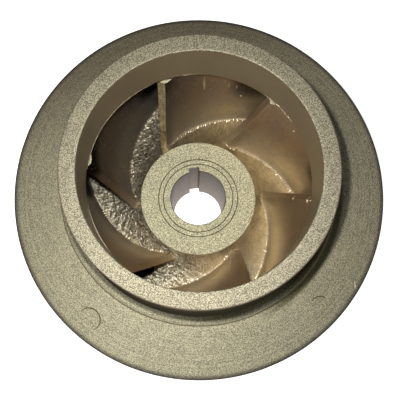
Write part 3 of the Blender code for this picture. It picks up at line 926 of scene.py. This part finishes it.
def vane_shares():
    """Steps along a vane, close together on the rounded nose."""
    nose_share, nose_steps, body_steps = 0.044, 18, 150
    nose = [nose_share * i / nose_steps for i in range(nose_steps)]
    return nose + [nose_share + (1.0 - nose_share) * i / body_steps for i in range(body_steps + 1)]


def vane_spans():
    """Steps across a vane, close together at both fillets, and a little into both shrouds."""
    reach, steps = 0.035, 48
    bunch = 0.32
    spans = []
    for i in range(steps + 1):
        t = i / steps
        spans.append(-reach + (1.0 + 2.0 * reach) * (t - bunch * math.sin(math.tau * t) / math.tau))
    return spans


class IMPELLER_OT_vanes(bpy.types.Operator):
    """Make the sand-cast vanes with their fillets, noses and bored tips"""
    bl_idname = "impeller.make_vanes"
    bl_label = "Vanes"

    def execute(self, context):
        for number in range(VANE_COUNT):
            vane = vane_piece(number, context.scene.impeller_detail)
            settle(vane, "as_cast_bronze", f"vane_{number + 1}")
        return {"FINISHED"}


def vane_piece(number, detail):
    """Build one vane from rows of points on its two sides, and bore its tip away with the eye."""
    shares, spans = vane_shares(), vane_spans()
    columns = len(spans)
    corners = []
    for share in shares:
        for towards_shaft in (True, False):
            for t in spans:
                point = vane_surface(share, t, number, detail, towards_shaft)
                corners.append(within_rim(cast_waver(point, number)))
    faces = []
    for i in range(len(shares) - 1):
        a, b = i * 2 * columns, (i + 1) * 2 * columns
        for j in range(columns - 1):
            faces.append((a + j, b + j, b + j + 1, a + j + 1))
            faces.append((a + columns + j, a + columns + j + 1, b + columns + j + 1, b + columns + j))
        for j in (0, columns - 1):
            faces.append((a + j, a + columns + j, b + columns + j, b + j))
    end = (len(shares) - 1) * 2 * columns
    for j in range(columns - 1):
        faces.append((end + j, end + columns + j, end + columns + j + 1, end + j + 1))
    piece = new_piece(f"vane_blade_{number + 1}", corners, faces,
                      ["cast_bronze_vane", "blasted_bronze_hub", "worn_bronze_nose_highlight"])
    nose_faces = 2 * columns * sum(share < NOSE_SHARES[number] for share in shares)
    piece.data.polygons.foreach_set("material_index", [2 if i < nose_faces else 0 for i in range(len(faces))])
    bm = bmesh.new()
    bm.from_mesh(piece.data)
    bmesh.ops.remove_doubles(bm, verts=bm.verts, dist=0.02 * MM)
    bmesh.ops.recalc_face_normals(bm, faces=bm.faces)
    bm.to_mesh(piece.data)
    bm.free()
    carve(piece, [boring_tool(TIP_CUTS[number])])
    return piece


def boring_tool(run_on):
    """The space that the boring tool cleared, which cuts the vanes' tips flat."""
    centre, reach = 0.01 * MM, RING_INNER + 0.5 * MM
    depth = RING_FOOT - run_on
    profile = [(centre, depth), (reach, depth), (reach, RING_TOP), (centre, RING_TOP)]
    return turned("boring_tool", [("blasted_bronze_hub", profile)], 120)


def cast_waver(point, number):
    """Uneven surface of a hand-rammed core, as a slow swell and a fine one."""
    slow = noise.noise_vector(point * SLOW_WAVES + Vector((number * 7.0, 0.0, 0.0))) * (0.35 * MM)
    fine = noise.noise_vector(point * FINE_WAVES) * (0.10 * MM)
    return point + slow + fine


def within_rim(point):
    """Keep a point inside the rim."""
    radius = math.hypot(point.x, point.y)
    rim = RIM_RADIUS - 0.3 * MM
    if radius > rim:
        point = Vector((point.x * rim / radius, point.y * rim / radius, point.z))
    return point


class IMPELLER_OT_flash(bpy.types.Operator):
    """Make the ragged flash along the foot of every vane and the burr under the eye's wall"""
    bl_idname = "impeller.make_flash"
    bl_label = "Casting flash"

    def execute(self, context):
        for number in range(VANE_COUNT):
            flash = flash_piece(number, context.scene.impeller_detail)
            settle(flash, "as_cast_bronze")
        settle(bore_burr_highlight(), "machined_bronze")
        return {"FINISHED"}


def flash_piece(number, detail):
    """The seam along a vane's foot: a thin bead of metal, crossed by short bright ridges like stitches."""
    seam_size, bright, stitch_share = SEAMS[number]
    # Where along the vane the seam shows, as shares
    first, last, steps = 0.03, 0.66, 420
    seam = []
    for i in range(steps + 1):
        point = seam_point(first + (last - first) * i / steps, number, detail)
        tooth = noise.noise(point * TOOTH_WAVES + Vector((0.0, 0.0, number * 3.0)))
        swell = noise.noise(point * SWELL_WAVES + Vector((0.0, number * 5.0, 0.0)))
        size = seam_size * max(0.1, 1.0 + 2.6 * tooth + 1.4 * swell)
        seam.append((point, size * min(1.0, i / 4, (steps - i) / 4) + 0.01 * MM))
    chance = random.Random(number + 1)
    spines = [seam]
    share = first
    while share < last:
        if chance.random() < stitch_share:
            spines.append(stitch(share, number, detail, chance))
        share += chance.uniform(0.9, 1.9) * MM / vane_run(share, number)
    kinds = ["broken_bronze_flash_and_highlight"] * len(spines)
    if not bright:
        kinds[0] = "cast_bronze_floor"
    return bead(f"root_flash_{number + 1}", spines, kinds)


def seam_point(share, number, detail):
    """Point on the floor where a vane's fillet ends, on the shaft's side."""
    point = vane_surface(share, 0.0, number, detail)
    point.z = floor_height(math.hypot(point.x, point.y))
    return point


def vane_run(share, number):
    """Length of a vane's foot for a whole share, measured at one place."""
    ahead = 0.002
    return (vane_line(share + ahead, number)[0] - vane_line(share, number)[0]).length / ahead


def stitch(share, number, detail, chance):
    """One short ridge across the seam, from the floor up the vane's fillet."""
    middle = seam_point(share, number, detail)
    above = vane_surface(share, 0.012 + 0.014 * chance.random(), number, detail)
    below = middle + (middle - above) * chance.uniform(0.2, 0.9)
    below.z = floor_height(math.hypot(below.x, below.y))
    thick = chance.uniform(0.14, 0.44) * MM
    lift = Vector((0.0, 0.0, 0.25 * MM))
    return [(below, 0.02 * MM), (below.lerp(middle, 0.5), 0.8 * thick), (middle + lift, thick),
            (middle.lerp(above, 0.5) + lift, 0.8 * thick), (above, 0.03 * MM)]


def bead(name, spines, kinds, sides=6):
    """Closed beads of metal, each along a spine of (point, radius) and with its own finish, as one piece."""
    corners, faces, slots = [], [], []
    names = list(dict.fromkeys(kinds))
    for spine, kind in zip(spines, kinds):
        base, first_face = len(corners), len(faces)
        for i, (point, size) in enumerate(spine):
            onward = (spine[min(i + 1, len(spine) - 1)][0] - spine[max(i - 1, 0)][0]).normalized()
            across = onward.cross(Vector((0.0, 0.0, 1.0))).normalized()
            up = across.cross(onward)
            for k in range(sides):
                angle = math.tau * k / sides
                corners.append(point + (across * math.cos(angle) + up * math.sin(angle)) * size)
        last = base + (len(spine) - 1) * sides
        for row in range(base, last, sides):
            faces += band(row, row + sides, sides)
        faces += [tuple(range(base, base + sides)), tuple(range(last, last + sides))]
        slots += [names.index(kind)] * (len(faces) - first_face)
    piece = new_piece(name, corners, faces, names)
    piece.data.polygons.foreach_set("material_index", slots)
    return piece


def bore_burr_highlight():
    """The burr that the boring tool left under the eye's wall, in broken arcs, drawn bright as a painted
    highlight where the wall's foot catches the light.
    """
    radius = RING_INNER - 0.1 * MM
    spines = []
    for first_deg, last_deg, size, ragged in BURR_HIGHLIGHTS:
        steps = round(3 * (last_deg - first_deg))
        spine = []
        for i in range(steps + 1):
            point = towards(first_deg + (last_deg - first_deg) * i / steps) * radius
            point.z = RING_FOOT
            swell = math.sin(math.pi * i / steps) ** 0.5 * (1.0 + ragged * noise.noise(point * BURR_WAVES))
            spine.append((point, max(0.02 * MM, size * swell)))
        spines.append(spine)
    return bead("bore_burr_highlight", spines, ["broken_bronze_flash_and_highlight"] * len(spines))


class IMPELLER_OT_fins(bpy.types.Operator):
    """Make the small fins and lumps that cracks in the cores left on four vanes"""
    bl_idname = "impeller.make_fins"
    bl_label = "Core fins"

    def execute(self, context):
        detail = context.scene.impeller_detail
        steps = 14
        for index, (number, start, end, width) in enumerate(FINS):
            spine = []
            for i in range(steps + 1):
                t = i / steps
                point = vane_surface(start[0] + (end[0] - start[0]) * t, start[1] + (end[1] - start[1]) * t,
                                     number, detail)
                swell = math.sin(math.pi * (0.08 + 0.84 * t)) * (1.0 + 0.5 * noise.noise(point * TOOTH_WAVES))
                spine.append((cast_waver(point, number), width * swell))
            fin = bead(f"core_fin_{index + 1}", [spine], ["broken_bronze_flash_and_highlight"], 8)
            settle(fin, "as_cast_bronze")
        return {"FINISHED"}


def on_cone(radius, angle_deg, rise):
    """Place on the front shroud, turned to its slope: a matrix that shapes at the origin move by."""
    return (Matrix.Rotation(math.radians(angle_deg), 4, "Z")
            @ Matrix.Translation((radius, 0.0, shroud_top(radius) + rise))
            @ Matrix.Rotation(SHROUD_SLOPE, 4, "Y"))


def cut_marks(cone, detail):
    """Cut the grooves round the casting pads, and a dent near the rim, into the front shroud."""
    around = arc((detail.pad_radius, 0.0), detail.pad_groove, 0.0, 330.0, 11)
    cutters = []
    for radius, angle_deg, deep_deg, depth, change in PADS:
        axis = Matrix.Rotation(math.radians(deep_deg - angle_deg), 4, "Z") @ Vector((0.0, 1.0, 0.0))
        lean = Matrix.Rotation(math.atan(change / detail.pad_radius), 4, axis)
        # The groove's cutter gives its painted shade to the cut
        groove = turned("pad_groove", [("painted_shade_groove", around)], 96)
        groove.data.transform(on_cone(radius, angle_deg, detail.pad_groove - depth) @ lean)
        cutters.append(groove)
    radius, angle_deg, heading_deg, long, wide = DENT
    along = Matrix.Rotation(math.radians(heading_deg - angle_deg), 4, "Z")
    bm = bmesh.new()
    bmesh.ops.create_icosphere(bm, subdivisions=3, radius=1.0)
    bm.transform(on_cone(radius, angle_deg, 0.0) @ along @ Matrix.Diagonal((long, wide, wide, 1.0)))
    cutters.append(simple_piece("rim_dent", bm, finish("blasted_bronze_shroud")))
    carve(cone, cutters, 50.0)


class IMPELLER_OT_stage(bpy.types.Operator):
    """Make the pale floor, the lights and the camera"""
    bl_idname = "impeller.make_stage"
    bl_label = "Stage"

    def execute(self, context):
        make_floor(context.scene.impeller_stage)
        make_camera(context.scene.impeller_stage)
        make_lights()
        context.scene.view_settings.view_transform = "Standard"
        return {"FINISHED"}


def make_floor(stage):
    """A wide sheet of pale paper under the part, lit from below as on a light table."""
    paper = bpy.data.materials.new("pale_paper")
    paper.use_nodes = True
    shader = paper.node_tree.nodes["Principled BSDF"]
    shader.inputs["Base Color"].default_value = (*stage.floor, 1.0)
    shader.inputs["Roughness"].default_value = 0.9
    shader.inputs["Emission Color"].default_value = (1.0, 1.0, 1.0, 1.0)
    shader.inputs["Emission Strength"].default_value = stage.floor_glow
    bm = bmesh.new()
    bmesh.ops.create_grid(bm, x_segments=4, y_segments=4, size=3.0)
    floor = simple_piece("pale_floor", bm, paper)
    floor.location.z = -0.2 * MM


def make_camera(stage):
    """The camera of the reference view, with the shift that its framing needs."""
    # The view's side, and where the fitted camera's axis meets it, in pixels
    side, axis_x, axis_y = 400.0, 190.0, 240.0
    back = Vector((0.0, -math.cos(stage.elevation), math.sin(stage.elevation)))
    right = Vector((1.0, 0.0, 0.0))
    up = back.cross(right)
    spin = Matrix.Rotation(stage.azimuth, 3, "Z")
    tilt = Matrix.Rotation(stage.roll, 3, back)
    data = bpy.data.cameras.new("camera")
    data.lens = stage.lens
    data.shift_x = (side / 2 - axis_x) / side
    data.shift_y = (axis_y - side / 2) / side
    data.clip_start, data.clip_end = 0.01, 20.0
    axes = Matrix((spin @ tilt @ right, spin @ tilt @ up, spin @ back)).transposed().to_4x4()
    camera = placed("camera", data)
    camera.matrix_world = Matrix.Translation(spin @ (AIM + back * stage.distance)) @ axes
    bpy.context.scene.camera = camera


def make_lights():
    """A small key beside the camera and two broad fills from the lower left, in a nearly dark room."""
    middle = Vector((0.0, 0.0, 0.07))
    for name, place, size, watts, code in LAMPS:
        data = bpy.data.lights.new(name, "AREA")
        data.shape = "DISK"
        data.size = size
        data.energy = watts
        data.color = colour(code)
        lamp = placed(name, data)
        lamp.location = place
        lamp.rotation_mode = "QUATERNION"
        lamp.rotation_quaternion = (middle - Vector(place)).to_track_quat("-Z", "Y")
    world = bpy.data.worlds.new("dark_room")
    world.use_nodes = True
    backdrop = world.node_tree.nodes["Background"]
    backdrop.inputs["Color"].default_value = (1.0, 1.0, 1.0, 1.0)
    backdrop.inputs["Strength"].default_value = 0.003
    bpy.context.scene.world = world


class IMPELLER_PT_panel(bpy.types.Panel):
    """Buttons that make the pieces"""
    bl_label = "Pump Impeller"
    bl_idname = "IMPELLER_PT_panel"
    bl_space_type = "VIEW_3D"
    bl_region_type = "UI"
    bl_category = "Impeller"

    def draw(self, context):
        for operator in OPERATORS:
            self.layout.operator(operator.bl_idname)
        for group in (context.scene.impeller_finish, context.scene.impeller_detail,
                      context.scene.impeller_stage):
            for name in group.bl_rna.properties.keys():
                if name not in {"rna_type", "name"}:
                    self.layout.prop(group, name)


OPERATORS = (
    IMPELLER_OT_hub,
    IMPELLER_OT_back_shroud,
    IMPELLER_OT_front_shroud,
    IMPELLER_OT_eye_ring,
    IMPELLER_OT_vanes,
    IMPELLER_OT_flash,
    IMPELLER_OT_fins,
    IMPELLER_OT_stage,
)
CLASSES = (ImpellerFinish, ImpellerDetail, ImpellerStage, *OPERATORS, IMPELLER_PT_panel)


def register():
    for cls in CLASSES:
        bpy.utils.register_class(cls)
    bpy.types.Scene.impeller_finish = PointerProperty(type=ImpellerFinish)
    bpy.types.Scene.impeller_detail = PointerProperty(type=ImpellerDetail)
    bpy.types.Scene.impeller_stage = PointerProperty(type=ImpellerStage)


def unregister():
    del bpy.types.Scene.impeller_stage
    del bpy.types.Scene.impeller_detail
    del bpy.types.Scene.impeller_finish
    for cls in reversed(CLASSES):
        bpy.utils.unregister_class(cls)


def main():
    register()
    bpy.ops.impeller.make_hub()
    bpy.ops.impeller.make_back_shroud()
    bpy.ops.impeller.make_front_shroud()
    bpy.ops.impeller.make_eye_ring()
    bpy.ops.impeller.make_vanes()
    bpy.ops.impeller.make_flash()
    bpy.ops.impeller.make_fins()
    bpy.ops.impeller.make_stage()


if __name__ == "__main__":
    main()
